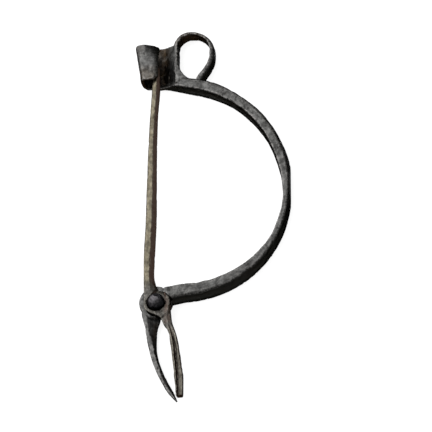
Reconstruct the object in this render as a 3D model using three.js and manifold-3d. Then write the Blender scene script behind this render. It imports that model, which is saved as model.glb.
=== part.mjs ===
// Fibula brooch with pincer prongs, in three forged pieces: a D-shaped bow, a swinging pin and a rivet.
// Millimetres. The brooch lies on its back on the plane z = 0. The rivet's axis is the Z axis, the pin
// runs up along +Y to the rolled catch, the bow swells out to +X, and the prongs point down along -Y.
import * as THREE from 'three';
import { mergeVertices } from 'three/addons/utils/BufferGeometryUtils.js';
import Module from 'manifold-3d';

const wasm = await Module();
wasm.setup();

const { degToRad, lerp, smoothstep } = THREE.MathUtils;
const gap = 0.3; // air between pieces that touch or turn on each other
const bevel = 0.3;
const roundSides = 32;

// Bow bar: its middle runs at bowRadius from bowCentre, with a two-lobed and a three-lobed swell that
// both peak towards bulgeAngle. Angles are in degrees from +X, and each table row is [angle, value].
const bowCentre = new THREE.Vector2(4, 37.5);
const bowRadius = 32.95;
const twoLobes = 1.72;
const threeLobes = 0.32;
const bulgeAngle = -51.2;
const bowFootAngle = -84;
const bowTopAngle = 90;
const bowStations = 58;
const bowDepth = 3.8;
const bowWidths = [
  [-90, 3.4], [-72, 3.05], [-58, 2.5], [-42, 1.75], [-20, 1.35], [-5, 1.4],
  [12, 2], [35, 2.25], [70, 2.85], [82, 2.9], [92, 2.1],
];
const bowFlare = 0.12; // how far the bar's foot spreads past its face, as a share of its width
const flareHeight = 0.1; // height of the widest line of the foot, as a share of the depth
const flareTop = 0.6; // height where the flare has nearly run out, as a share of the depth
const bowFootEnd = new THREE.Vector2(-0.5, 2.9);
const bowFootBend = new THREE.Vector2(3.5, 3.55);
const bowFootWidth = 3.9;
const bowFootSteps = 6;

// Hinge, from the back: rivet tail, the bow's cheek, the pin's eye, rivet head
const cheekCentre = new THREE.Vector2(-0.65, 1.7);
const cheekRadius = 4.75;
const cheekBottom = 0.8;
const cheekTop = 2.3;
const hingeReach = 12; // past every corner of the hinge
const eyeCentre = new THREE.Vector2(0.05, 0.15);
const eyeRadius = 3.75;
const eyeBottom = cheekTop + gap;
const eyeTop = 4.65;
const eyeLeft = -3.6; // the straight side, along which the shank runs down
const eyeShoulder = 5.2; // height at which the straight side starts
const eyeElbow = [[-3.6, -0.4], [-3.6, -1.7], [-2.3, -2.3]]; // start, corner and end of the rounded turn
const eyeToe = [[1.5, -4.6], [3.4, -4.4]]; // the slanted lower side runs down to where the gouge leaves
const eyeArc = [-25, 100]; // degrees from +X between which the eye is round
const eyeBevel = 0.2;
const eyeBevelInset = 0.1;
const eyeSteps = 14;
const shoulderAngle = 66; // the bar's full depth starts this far round from +X, clear of the turning shank
const rivetRadius = 1.4;
const rivetHeadRadius = 2.4;
const rivetHeadHeight = 1.85;
const rivetHeadCentre = new THREE.Vector2(-0.1, 0.35); // hammered over a little off the axis
const rivetHeadSides = 14;
const rivetDomeSteps = 5;
const rivetDomePower = 0.6; // under 1 makes the dome fuller at its edge than a half ellipse
const rivetTailRadius = 2.1;
const shankBury = 0.1; // how far the rivet's shank runs into its head, and stops short of its back

// Catch: a sheet that leaves the bow to the left and rolls forward over the pin
const catchBottom = 70.6;
const catchTop = 84;
const bottomSlope = -0.08; // rise of the lower edge to the right, mm per mm
const topLean = -0.25; // rise of the upper edge to the front, mm per mm
const catchRight = 5.2;
const rootLeft = 0.3;
const rootDepth = 3.65;
const hollowWidth = 3.7;
const hollowPath = [[0.3, 85.5], [0.3, 80], [0.3, 75], [1, 71.6], [2.2, 68.5]];
const rollMouth = 0;
const rollLeftAtBottom = -4.9;
const rollLeftAtTop = -6.65;
const rollHeight = 6.8;
const rollCrown = 0.85; // where the roll's top is, from its left side, as a share of its radius
const sheetThickness = 0.85;
const lipDroop = 4; // how far the lip sinks at the upper end of the roll
const lipFall = 0.2; // how far it sinks all along
const lipCut = 1.3; // how far the lip's lower corner is cut back
const lipCutRise = 0.12; // share of the catch's height over which it is
const hollowReach = [-3, 0.6]; // how far the hollow's cutter runs on past its left and right sides
const hollowPower = 1.7; // over 1 keeps the hollow flat near the roll and steep near the bar
const catchStations = 14;
const rollSteps = 14;
const lipSteps = 4;
const hollowSteps = 6;

// Loop: a thin strap on edge that runs round from the catch sheet and butts on the bow
const loopDepth = 3.6;
const loopPath = [
  [4.65, 76], [4.6, 80.4], [5.75, 84.4], [9.3, 86.6], [13.3, 84.8], [15.25, 79.6], [13.8, 74.8], [11.3, 71],
];
const loopWidths = [[0, 1.1], [0.2, 1.35], [0.36, 0.9], [0.5, 0.75], [0.66, 0.9], [0.8, 1.05], [1, 1.3]];
const loopEdge = 0.15;
const loopStations = 40;
const webOutline = [[9.4, 71.6], [9.6, 70.5], [4.5, 71], [4.5, 78], [5.2, 78]];
const webCorner = new THREE.Vector2(6.3, 72.4); // the web's free side sags towards this corner
const webSteps = 8;

// Pin shank: each row is [x, y, z] at the middle, from the eye to the point inside the catch
const pinPath = [
  [-1.9, 2, 3.62], [-2.4, 9, 3.75], [-2.1, 22, 4.25], [-1.8, 36, 4.75],
  [-1.6, 48, 4.9], [-1.25, 60, 4.9], [-0.85, 70, 4.85], [-0.75, 78.6, 4.8],
];
const pinWidths = [
  [0, 3.6], [0.05, 2.95], [0.1, 2.65], [0.3, 2.6], [0.5, 2.55], [0.8, 2.2], [0.92, 1.7], [1, 0.3],
];
const pinDepths = [[0, 2.04], [0.1, 2.04], [0.3, 1.85], [0.5, 1.65], [0.92, 1.5], [1, 0.4]];
const pinChamfer = 0.55; // share of half the depth that the corners are cut back
const pinStations = 34;

// Prongs: each row of a path is [x, y] at the middle, from the hinge to the tip. The horn belongs to
// the bow and ends in a point; the gouge belongs to the pin and has a groove down its face. A section's
// rows are [share of half the width, height], counted up from its bottom or, for its face, from its top.
const hornPath = [
  [-1.8, -1.5], [-2.1, -6], [-1.95, -9.5], [-1.2, -14.5], [0.33, -19.5], [2.7, -24.5], [5.35, -29.1],
];
const hornWidths = [[0, 6], [0.16, 3.2], [0.3, 2.2], [0.46, 1.5], [0.64, 1.4], [0.83, 1.3], [1, 0.25]];
const hornBottoms = [[0, 0.8], [0.3, 0.4], [0.8, 0.5], [1, 1.1]];
const hornTop = cheekTop;
const hornUnderside = [[-1, 0.4], [-0.7, 0], [0.7, 0], [1, 0.3]];
const hornFace = [[1, -0.6], [-0.3, 0], [-1, -0.35]];
const gougePath = [[2, -1.5], [3.1, -6], [4.35, -9.4], [5.15, -14], [5.75, -19], [6.3, -24.5], [6.4, -28.5]];
const gougeWidths = [[0, 3.4], [0.16, 2.3], [0.3, 1.75], [0.6, 1.9], [0.9, 2.05], [1, 1.1]];
const gougeTop = 4.6;
const gougeUnderside = [[-1, 0.3], [-0.7, 0], [0.7, 0], [1, 0.3]];
const gougeRightRim = [[1, -0.3], [0.8, -0.1]];
const grooveDepth = 0.75;
const grooveStart = [0.15, 0.4]; // shares of the way down between which the groove deepens
const grooveMiddle = [0.2, -0.5]; // share of half the width where it is deepest, at the hinge and the tip
const grooveLeftSide = 0.4; // how far left of that its steep side reaches the face
const prongStations = 18;

const darkPatina = new THREE.MeshStandardMaterial({ color: 0x3b3a37, roughness: 0.5, metalness: 0.8 });
const olivePatina = new THREE.MeshStandardMaterial({ color: 0x5d584a, roughness: 0.5, metalness: 0.8 });
const greyPatina = new THREE.MeshStandardMaterial({ color: 0x3a3638, roughness: 0.45, metalness: 0.8 });

// A smooth curve through [place, value] rows, as a function of the place.
function through(rows) {
  const curve = new THREE.CubicInterpolant(rows.map((row) => row[0]), rows.map((row) => row[1]), 1);
  return (place) => curve.evaluate(place)[0];
}

// A station of a sweep. Its section is a list of [across, up] pairs, counter-clockwise as seen from the
// far end of the path, and up is as near +Z as the path allows.
function station(origin, tangent, section) {
  const across = new THREE.Vector3(0, 0, 1).cross(tangent).normalize();
  const up = tangent.clone().cross(across);
  return { origin, across, up, section };
}

// The same for a path in plan, which stands on z = 0.
function planStation(point, direction, section) {
  const origin = new THREE.Vector3(point.x, point.y, 0);
  return station(origin, new THREE.Vector3(direction.x, direction.y, 0), section);
}

// The closed mesh through stations whose sections have equally many points.
function sweep(stations) {
  const ringSize = stations[0].section.length;
  const positions = [];
  for (const { origin, across, up, section } of stations) {
    for (const [a, u] of section) {
      positions.push(...origin.clone().addScaledVector(across, a).addScaledVector(up, u));
    }
  }
  const faces = [];
  for (let ring = 0; ring < stations.length - 1; ring++) {
    for (let side = 0; side < ringSize; side++) {
      const here = ring * ringSize + side;
      const next = ring * ringSize + ((side + 1) % ringSize);
      faces.push([here, next, next + ringSize], [here, next + ringSize, here + ringSize]);
    }
  }
  const corners = ({ section }) => section.map((pair) => new THREE.Vector2(...pair));
  const lastRing = (stations.length - 1) * ringSize;
  for (const cap of THREE.ShapeUtils.triangulateShape(corners(stations[0]), [])) {
    faces.push(cap.reverse());
  }
  for (const cap of THREE.ShapeUtils.triangulateShape(corners(stations.at(-1)), [])) {
    faces.push(cap.map((corner) => corner + lastRing));
  }
  return new THREE.BufferGeometry()
    .setAttribute('position', new THREE.Float32BufferAttribute(positions, 3))
    .setIndex(faces.flat());
}

// A sweep along a curve, with the section given by the share of the way along it.
function sweepAlong(curve, steps, sectionAt) {
  const stations = [];
  for (let step = 0; step <= steps; step++) {
    const share = step / steps;
    const point = curve.getPointAt(share);
    const tangent = curve.getTangentAt(share);
    const make = point.isVector3 ? station : planStation;
    stations.push(make(point, tangent, sectionAt(share)));
  }
  return sweep(stations);
}

// A rectangle with its four corners cut off.
function slab(width, bottom, top, edge) {
  const side = width / 2;
  return [
    [-side + edge, bottom], [side - edge, bottom], [side, bottom + edge], [side, top - edge],
    [side - edge, top], [-side + edge, top], [-side, top - edge], [-side, bottom + edge],
  ];
}

// A turned solid about a vertical axis, from a profile of [radius, height] rows.
function turned(profile, centre, sides = roundSides) {
  return new THREE.LatheGeometry(profile.map((pair) => new THREE.Vector2(...pair)), sides)
    .rotateX(Math.PI / 2)
    .translate(centre.x, centre.y, 0);
}

// A round plate with bevelled edges.
function plate(radius, bottom, top, centre) {
  return turned([
    [0, bottom], [radius - bevel, bottom], [radius, bottom + bevel],
    [radius, top - bevel], [radius - bevel, top], [0, top],
  ], centre);
}

function drum(radius, bottom, top, centre) {
  return turned([[0, bottom], [radius, bottom], [radius, top], [0, top]], centre);
}

function solid(geometry) {
  const bare = geometry.clone();
  bare.deleteAttribute('normal');
  bare.deleteAttribute('uv');
  const { attributes, index } = mergeVertices(bare);
  const mesh = new wasm.Mesh({
    numProp: 3,
    vertProperties: new Float32Array(attributes.position.array),
    triVerts: new Uint32Array(index.array),
  });
  return new wasm.Manifold(mesh);
}

function piece(name, made, material) {
  const { vertProperties, triVerts } = made.getMesh();
  const geometry = new THREE.BufferGeometry()
    .setAttribute('position', new THREE.Float32BufferAttribute(vertProperties, 3))
    .setIndex(Array.from(triVerts));
  geometry.computeVertexNormals();
  const mesh = new THREE.Mesh(geometry, material);
  mesh.name = name;
  return mesh;
}

// The middle of the bar at an angle about bowCentre.
function bowPoint(angle) {
  const turn = degToRad(angle);
  const fromBulge = degToRad(angle - bulgeAngle);
  const radius = bowRadius + twoLobes * Math.cos(2 * fromBulge) + threeLobes * Math.cos(3 * fromBulge);
  return new THREE.Vector2(radius * Math.cos(turn), radius * Math.sin(turn)).add(bowCentre);
}

// The bar's section: a chamfered face, steep sides and a foot that spreads.
function barSection(width) {
  const side = width / 2;
  const flare = width * bowFlare;
  const right = [
    [side + flare / 2, 0], [side + flare, flareHeight * bowDepth], [side + flare / 4, flareTop * bowDepth],
    [side, bowDepth - bevel], [side - bevel, bowDepth],
  ];
  const left = right.map(([across, up]) => [-across, up]).reverse();
  return [...right, ...left];
}

// The bar, from the catch clockwise to the hinge, where its foot widens and bends in behind the eye.
function bowBar() {
  const widthAt = through(bowWidths);
  const stations = [];
  for (let step = 0; step <= bowStations; step++) {
    const angle = lerp(bowTopAngle, bowFootAngle, step / bowStations);
    const direction = bowPoint(angle - 1).sub(bowPoint(angle + 1)).normalize();
    stations.push(planStation(bowPoint(angle), direction, barSection(widthAt(angle))));
  }
  const foot = new THREE.QuadraticBezierCurve(bowPoint(bowFootAngle), bowFootBend, bowFootEnd);
  for (let step = 1; step <= bowFootSteps; step++) {
    const share = step / bowFootSteps;
    const width = lerp(widthAt(bowFootAngle), bowFootWidth, share);
    stations.push(planStation(foot.getPoint(share), foot.getTangent(share), barSection(width)));
  }
  return sweep(stations);
}

// Everything above the cheek that the eye and the root of the shank turn through.
function hingeRoom() {
  const shoulder = new THREE.Vector2(hingeReach, 0).rotateAround(new THREE.Vector2(), degToRad(shoulderAngle));
  const wedge = new THREE.Shape();
  wedge.moveTo(eyeCentre.x, eyeCentre.y);
  wedge.lineTo(shoulder.x, shoulder.y);
  wedge.lineTo(-hingeReach, hingeReach);
  wedge.lineTo(-hingeReach, 0);
  wedge.closePath();
  const room = new THREE.ExtrudeGeometry(wedge, { depth: hingeReach, bevelEnabled: false });
  return solid(room.translate(0, 0, cheekTop))
    .add(solid(drum(eyeRadius + gap, cheekTop, cheekTop + hingeReach, eyeCentre)));
}

// The catch's section at a share of its height: over the roll from the lip, round behind the pin to the
// root, and back along the inside.
function catchSection(rise) {
  const left = lerp(rollLeftAtBottom, rollLeftAtTop, rise);
  const radius = rollHeight / 2;
  const crown = left + rollCrown * radius;
  const mouth = rollMouth - lipCut * (1 - smoothstep(rise, 0, lipCutRise));
  const droop = lipDroop * smoothstep(rise, 0.5, 1.05) + lipFall;
  const outer = [];
  const inner = [];
  for (let step = lipSteps; step > 0; step--) {
    const share = step / lipSteps;
    const height = rollHeight - droop * share ** 2;
    outer.push([lerp(crown, mouth, share), height]);
    inner.push([lerp(crown, mouth, share), height - sheetThickness]);
  }
  for (let step = 0; step <= rollSteps; step++) {
    const turn = Math.PI * (0.5 + step / rollSteps);
    outer.push([crown + (crown - left) * Math.cos(turn), radius + radius * Math.sin(turn)]);
    inner.push([
      crown + (crown - left - sheetThickness) * Math.cos(turn),
      radius + (radius - sheetThickness) * Math.sin(turn),
    ]);
  }
  outer.push([rootLeft + bevel, 0]);
  inner.push([rootLeft + bevel, sheetThickness]);
  return [...outer, ...inner.reverse()];
}

// A section carried down the catch, with its ends sloped as the sheet's edges are.
function downTheCatch(sectionAt) {
  const stations = [];
  for (let step = 0; step <= catchStations; step++) {
    const rise = 1 - step / catchStations;
    const origin = new THREE.Vector3(0, lerp(catchBottom, catchTop, rise), 0);
    stations.push(station(origin, new THREE.Vector3(0, -1, 0), sectionAt(rise)));
  }
  const part = sweep(stations);
  const position = part.attributes.position;
  for (let i = 0; i < position.count; i++) {
    const rise = (position.getY(i) - catchBottom) / (catchTop - catchBottom);
    const slope = lerp(bottomSlope * position.getX(i), topLean * position.getZ(i), rise);
    position.setY(i, position.getY(i) + slope);
  }
  return part;
}

function catchRoot() {
  return downTheCatch(() => [[rootLeft, 0], [catchRight, 0], [catchRight, rootDepth], [rootLeft, rootDepth]]);
}

// The trough that thins the root from the depth of the bow down to a sheet.
function rootHollow() {
  const path = new THREE.SplineCurve(hollowPath.map((row) => new THREE.Vector2(...row)));
  const section = [[hollowReach[0], sheetThickness]];
  for (let step = 0; step <= hollowSteps; step++) {
    const share = step / hollowSteps;
    section.push([hollowWidth * share, lerp(sheetThickness, bowDepth, share ** hollowPower)]);
  }
  section.push([hollowWidth + hollowReach[1], bowDepth + 1], [hollowReach[0], bowDepth + 1]);
  return sweepAlong(path, catchStations, () => section);
}

function loopStrap() {
  const path = new THREE.SplineCurve(loopPath.map((row) => new THREE.Vector2(...row)));
  const widthAt = through(loopWidths);
  return sweepAlong(path, loopStations, (share) => slab(widthAt(share), 0, loopDepth, loopEdge));
}

// The web that fills the corner between the catch's root and the top of the bar.
function loopWeb() {
  const web = new THREE.Shape(webOutline.map((row) => new THREE.Vector2(...row)));
  web.quadraticCurveTo(webCorner.x, webCorner.y, ...webOutline[0]);
  return new THREE.ExtrudeGeometry(web, { depth: loopDepth, bevelEnabled: false, curveSegments: webSteps });
}

// The pin's eye: straight where the shank runs down its left side, slanted below, round at the right.
function eye() {
  const [turnStart, turnCorner, turnEnd] = eyeElbow;
  const outline = new THREE.Shape();
  outline.moveTo(eyeLeft, eyeShoulder);
  outline.lineTo(...turnStart);
  outline.quadraticCurveTo(...turnCorner, ...turnEnd);
  eyeToe.forEach((row) => outline.lineTo(...row));
  outline.absarc(eyeCentre.x, eyeCentre.y, eyeRadius - eyeBevelInset, ...eyeArc.map(degToRad), false);
  outline.closePath();
  return new THREE.ExtrudeGeometry(outline, {
    depth: eyeTop - eyeBottom - 2 * eyeBevel,
    bevelThickness: eyeBevel,
    bevelSize: eyeBevelInset,
    bevelSegments: 1,
    curveSegments: eyeSteps,
  }).translate(0, 0, eyeBottom + eyeBevel);
}

function shank() {
  const path = new THREE.CatmullRomCurve3(pinPath.map((row) => new THREE.Vector3(...row)));
  const widthAt = through(pinWidths);
  const depthAt = through(pinDepths);
  return sweepAlong(path, pinStations, (share) => {
    const half = depthAt(share) / 2;
    return slab(widthAt(share), -half, half, pinChamfer * half);
  });
}

// A section's points, from rows of [share of half the width, height].
function spread(rows, side, height) {
  return rows.map(([share, rise]) => [share * side, height + rise]);
}

function horn() {
  const path = new THREE.SplineCurve(hornPath.map((row) => new THREE.Vector2(...row)));
  const widthAt = through(hornWidths);
  const bottomAt = through(hornBottoms);
  return sweepAlong(path, prongStations, (share) => {
    const side = widthAt(share) / 2;
    return [...spread(hornUnderside, side, bottomAt(share)), ...spread(hornFace, side, hornTop)];
  });
}

function gouge() {
  const path = new THREE.SplineCurve(gougePath.map((row) => new THREE.Vector2(...row)));
  const widthAt = through(gougeWidths);
  return sweepAlong(path, prongStations, (share) => {
    const side = widthAt(share) / 2;
    const groove = grooveDepth * smoothstep(share, ...grooveStart);
    const middle = lerp(...grooveMiddle, share);
    const face = [...gougeRightRim, [middle, -groove], [middle - grooveLeftSide, 0], [-1, -bevel]];
    return [...spread(gougeUnderside, side, eyeBottom), ...spread(face, side, gougeTop)];
  });
}

// The rivet: a hammered tail, a round shank and a domed head with few sides.
function rivetBody() {
  const headBottom = eyeTop + gap;
  const dome = [[0, headBottom], [rivetHeadRadius, headBottom]];
  for (let step = 1; step < rivetDomeSteps; step++) {
    const turn = (Math.PI / 2) * (step / rivetDomeSteps);
    const radius = rivetHeadRadius * Math.cos(turn) ** rivetDomePower;
    dome.push([radius, headBottom + rivetHeadHeight * Math.sin(turn)]);
  }
  dome.push([0, headBottom + rivetHeadHeight]);
  return solid(drum(rivetTailRadius, 0, cheekBottom - gap, rivetAxis))
    .add(solid(drum(rivetRadius, shankBury, headBottom + shankBury, rivetAxis)))
    .add(solid(turned(dome, rivetHeadCentre, rivetHeadSides)));
}

const rivetAxis = new THREE.Vector2(0, 0);
const bore = solid(drum(rivetRadius + gap, -1, eyeTop + 1, rivetAxis));
const tailRoom = solid(drum(rivetTailRadius + gap, -1, cheekBottom, rivetAxis));
const bow = solid(bowBar())
  .add(solid(catchRoot()))
  .add(solid(loopWeb()))
  .subtract(solid(rootHollow()))
  .add(solid(downTheCatch(catchSection)))
  .add(solid(loopStrap()))
  .add(solid(plate(cheekRadius, cheekBottom, cheekTop, cheekCentre)))
  .subtract(hingeRoom())
  .add(solid(horn()))
  .subtract(bore)
  .subtract(tailRoom);
const pin = solid(shank())
  .add(solid(eye()))
  .add(solid(gouge()))
  .subtract(bore);

const brooch = new THREE.Group();
brooch.add(piece('bow', bow, darkPatina));
brooch.add(piece('pin', pin, olivePatina));
brooch.add(piece('rivet', rivetBody(), greyPatina));
export default brooch;
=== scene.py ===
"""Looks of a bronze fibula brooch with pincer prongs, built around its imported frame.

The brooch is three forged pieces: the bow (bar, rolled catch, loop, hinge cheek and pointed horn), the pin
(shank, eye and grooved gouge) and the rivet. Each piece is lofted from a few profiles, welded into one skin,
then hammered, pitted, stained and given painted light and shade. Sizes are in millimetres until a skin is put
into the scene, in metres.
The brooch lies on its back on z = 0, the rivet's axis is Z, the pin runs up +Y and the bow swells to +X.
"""

import logging
import math
from dataclasses import dataclass
from enum import Enum

import bpy
import numpy as np
from mathutils import Matrix, Vector

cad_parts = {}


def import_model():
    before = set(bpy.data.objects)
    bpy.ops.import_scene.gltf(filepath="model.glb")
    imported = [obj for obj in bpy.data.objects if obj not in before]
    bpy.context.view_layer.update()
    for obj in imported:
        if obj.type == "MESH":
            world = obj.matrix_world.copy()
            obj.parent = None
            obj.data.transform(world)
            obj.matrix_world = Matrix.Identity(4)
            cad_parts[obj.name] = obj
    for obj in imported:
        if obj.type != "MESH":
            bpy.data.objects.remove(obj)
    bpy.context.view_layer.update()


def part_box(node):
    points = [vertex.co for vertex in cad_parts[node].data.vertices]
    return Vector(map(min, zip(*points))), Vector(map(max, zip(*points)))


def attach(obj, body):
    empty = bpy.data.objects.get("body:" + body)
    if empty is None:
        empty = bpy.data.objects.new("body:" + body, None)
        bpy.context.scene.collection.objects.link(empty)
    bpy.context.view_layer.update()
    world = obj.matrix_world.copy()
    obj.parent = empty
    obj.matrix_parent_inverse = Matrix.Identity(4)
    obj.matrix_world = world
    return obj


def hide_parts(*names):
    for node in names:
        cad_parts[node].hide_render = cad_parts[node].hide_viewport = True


LOG = logging.getLogger("brooch")
METRES = 0.001  # one millimetre
PAINTED_LIGHT_WAY = np.array([-0.35, 0.0, 0.937])  # the way towards the key light, up and to the left: what faces it gets painted light, partly standing for polish by cloth and hands

Rows = tuple[tuple[float, ...], ...]


class Layer(Enum):
    """Values from 0 to 1 kept on a skin's points, which its finish reads."""

    FACE = "face"  # how far the skin faces up and to the left, towards the key light: painted light there and painted shade on steep sides, partly polish by hands and cloth
    WEAR_AND_HIGHLIGHT = "wear"  # how far it stands out as an edge that faces up and to the left: edge wear, partly a painted highlight towards the key light
    EARTH_AND_SHADE = "earth_and_shade"  # dark brown: painted shade in hollows, painted shadow behind the catch and under the eye, partly earthy brown and stain
    WARM = "warm"  # how far the patina has turned olive or brown
    STREAK = "streak"  # light and dark streaks along the way the metal was drawn out


@dataclass
class Shell:
    """A closed skin: its points in millimetres, one row each, and its faces as lists of point numbers."""

    points: np.ndarray
    faces: list[list[int]]


# ---------------------------------------------------------------- curves and lofts


def smooth_through(rows: Rows, at: np.ndarray) -> np.ndarray:
    """Values at given places on the smooth curve through rows of (place, value, ...).

    Between two rows the curve is the cubic whose slope at each row is that of the parabola through the row
    and its two neighbours.

    Args:
        rows: The place first, then one or more values.
        at: Places to read the curve at.

    Returns:
        One row of values for each place.
    """
    table = np.asarray(rows, float)
    knots, values = table[:, 0], table[:, 1:]
    spans = np.diff(knots)[:, None]
    rises = np.diff(values, axis=0) / spans
    middle = (rises[:-1] * spans[1:] + rises[1:] * spans[:-1]) / (spans[:-1] + spans[1:])
    slopes = np.vstack([rises[:1], middle, rises[-1:]])
    left = np.clip(np.searchsorted(knots, at, side="right") - 1, 0, len(spans) - 1)
    share = ((at - knots[left]) / spans[left, 0])[:, None]
    back = 1 - share
    return (
        (1 + 2 * share) * back**2 * values[left]
        + share * back**2 * spans[left] * slopes[left]
        + share**2 * (3 - 2 * share) * values[left + 1]
        - share**2 * back * spans[left] * slopes[left + 1]
    )


def width_through(rows: Rows, at: np.ndarray) -> np.ndarray:
    """The single value of smooth_through at each place."""
    return smooth_through(rows, at)[:, 0]


def curve_through(points: Rows, stations: int) -> tuple[np.ndarray, np.ndarray]:
    """A smooth path through points, cut into equal steps of its own length.

    Args:
        points: Points in plan or in space; a plan point lies on z = 0.
        stations: How many points the path gets.

    Returns:
        The path's points and its unit directions, both with three columns.
    """
    table = np.asarray(points, float)
    if table.shape[1] == 2:
        table = np.column_stack([table, np.zeros(len(table))])
    knots = np.concatenate([[0.0], np.cumsum(np.linalg.norm(np.diff(table, axis=0), axis=1))])
    fine = smooth_through(np.column_stack([knots, table]), np.linspace(0, knots[-1], 20 * stations))
    reach = np.concatenate([[0.0], np.cumsum(np.linalg.norm(np.diff(fine, axis=0), axis=1))])
    even = np.linspace(0, reach[-1], stations)
    path = np.column_stack([np.interp(even, reach, fine[:, axis]) for axis in range(3)])
    return path, directions(path)


def directions(path: np.ndarray) -> np.ndarray:
    """The unit direction of a path at each of its points."""
    slope = np.gradient(path, axis=0)
    return slope / np.linalg.norm(slope, axis=1, keepdims=True)


def smoothstep(value: np.ndarray, start: float, end: float) -> np.ndarray:
    """The S-shaped ramp from 0 at start to 1 at end."""
    share = np.clip((value - start) / (end - start), 0, 1)
    return share * share * (3 - 2 * share)


def lofted(rings: np.ndarray) -> Shell:
    """The closed skin through a stack of rings.

    Args:
        rings: Points by station, place round the ring, and axis; each ring is counter-clockwise as seen
            from the last one.

    Returns:
        Quads between the rings, and one face over each end.
    """
    stations, around = rings.shape[:2]
    here = np.arange((stations - 1) * around).reshape(stations - 1, around)
    beside = np.roll(here, -1, axis=1)
    quads = np.stack([here, beside, beside + around, here + around], axis=-1).reshape(-1, 4)
    last = (stations - 1) * around
    ends = [list(range(around))[::-1], list(range(last, last + around))]
    return Shell(rings.reshape(-1, 3), quads.tolist() + ends)


def swept(path: np.ndarray, ways: np.ndarray, sections: np.ndarray) -> Shell:
    """Sections carried along a path.

    Each point is the path's point, plus the section's first number across it, level and to its left, plus
    its second number upwards, square to both.

    Args:
        path: The path's points.
        ways: The path's unit directions.
        sections: One ring of (across, up) for each point of the path.

    Returns:
        The closed skin.
    """
    across = np.cross([0.0, 0.0, 1.0], ways)
    across /= np.linalg.norm(across, axis=1, keepdims=True)
    up = np.cross(ways, across)
    rings = path[:, None] + sections[..., :1] * across[:, None] + sections[..., 1:] * up[:, None]
    return lofted(rings)


def turned(profile: Rows, centre: tuple[float, float], sides: int = 64) -> Shell:
    """A round solid about an upright axis, from a profile of (radius, height) rows, lowest first."""
    radius, height = np.asarray(profile, float).T
    turn = np.linspace(0, 2 * np.pi, sides, endpoint=False)
    rings = np.empty((len(radius), sides, 3))
    rings[..., 0] = centre[0] + radius[:, None] * np.cos(turn)
    rings[..., 1] = centre[1] + radius[:, None] * np.sin(turn)
    rings[..., 2] = height[:, None]
    return lofted(rings)


def plate(outline: np.ndarray, bottom: float, top: float, edge: float) -> Shell:
    """A flat plate with a rounded rim: its outline drawn in by a quarter circle at both faces.

    Args:
        outline: The outline in plan, counter-clockwise.
        bottom: Height of the back.
        top: Height of the face.
        edge: Radius of the rounded rim.

    Returns:
        The closed skin.
    """
    ahead = np.roll(outline, -1, axis=0) - np.roll(outline, 1, axis=0)
    ahead /= np.linalg.norm(ahead, axis=1, keepdims=True)
    inward = np.column_stack([-ahead[:, 1], ahead[:, 0]])
    turn = np.linspace(0, np.pi / 2, 5)
    inset = np.concatenate([edge * (1 - np.sin(turn)), edge * (1 - np.cos(turn))])
    height = np.concatenate([bottom + edge * (1 - np.cos(turn)), top - edge * (1 - np.sin(turn))])
    rings = np.empty((len(inset), len(outline), 3))
    rings[..., :2] = outline + inset[:, None, None] * inward
    rings[..., 2] = height[:, None]
    return lofted(rings)


def rounded_outline(corners: Rows, count: int) -> np.ndarray:
    """The closed polygon through corners as evenly spaced points."""
    loop = np.asarray(corners + corners[:1], float)
    reach = np.concatenate([[0.0], np.cumsum(np.linalg.norm(np.diff(loop, axis=0), axis=1))])
    even = np.linspace(0, reach[-1], count, endpoint=False)
    return np.column_stack([np.interp(even, reach, loop[:, axis]) for axis in range(2)])


# ---------------------------------------------------------------- skins


def as_object(shell: Shell, name: str, scale: float = 1.0) -> bpy.types.Object:
    """Puts a skin into the scene as a mesh object at the origin."""
    mesh = bpy.data.meshes.new(name)
    mesh.from_pydata((shell.points * scale).tolist(), [], shell.faces)
    mesh.validate()
    made = bpy.data.objects.new(name, mesh)
    bpy.context.scene.collection.objects.link(made)
    return made


def taken_out(made: bpy.types.Object) -> Shell:
    """Reads a mesh object back as a skin, with its modifiers applied, and deletes the object."""
    graph = bpy.context.evaluated_depsgraph_get()
    mesh = bpy.data.meshes.new_from_object(made.evaluated_get(graph))
    points = np.empty(len(mesh.vertices) * 3)
    mesh.vertices.foreach_get("co", points)
    faces = [list(face.vertices) for face in mesh.polygons]
    old = made.data
    bpy.data.objects.remove(made)
    bpy.data.meshes.remove(old)
    bpy.data.meshes.remove(mesh)
    return Shell(points.reshape(-1, 3), faces)


def welded(shells: list[Shell], voxel: float) -> Shell:
    """Joins overlapping skins into one, at a grain of one voxel.

    Args:
        shells: Closed skins that overlap where the metal is one.
        voxel: Edge of the grain, in millimetres.

    Returns:
        One closed skin of even quads.
    """
    starts = np.cumsum([0] + [len(shell.points) for shell in shells])
    points = np.vstack([shell.points for shell in shells])
    faces = [
        [corner + int(start) for corner in face] for shell, start in zip(shells, starts) for face in shell.faces
    ]
    made = as_object(Shell(points, faces), "weld")
    remesh = made.modifiers.new("weld", "REMESH")
    remesh.mode = "VOXEL"
    remesh.voxel_size = voxel
    return taken_out(made)


def cut(shell: Shell, cutter: Shell) -> Shell:
    """A skin less the space inside another closed skin."""
    made = as_object(shell, "blank")
    knife = as_object(cutter, "knife")
    modifier = made.modifiers.new("cut", "BOOLEAN")
    modifier.operation = "DIFFERENCE"
    modifier.solver = "EXACT"
    modifier.object = knife
    result = taken_out(made)
    mesh = knife.data
    bpy.data.objects.remove(knife)
    bpy.data.meshes.remove(mesh)
    return result


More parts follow.
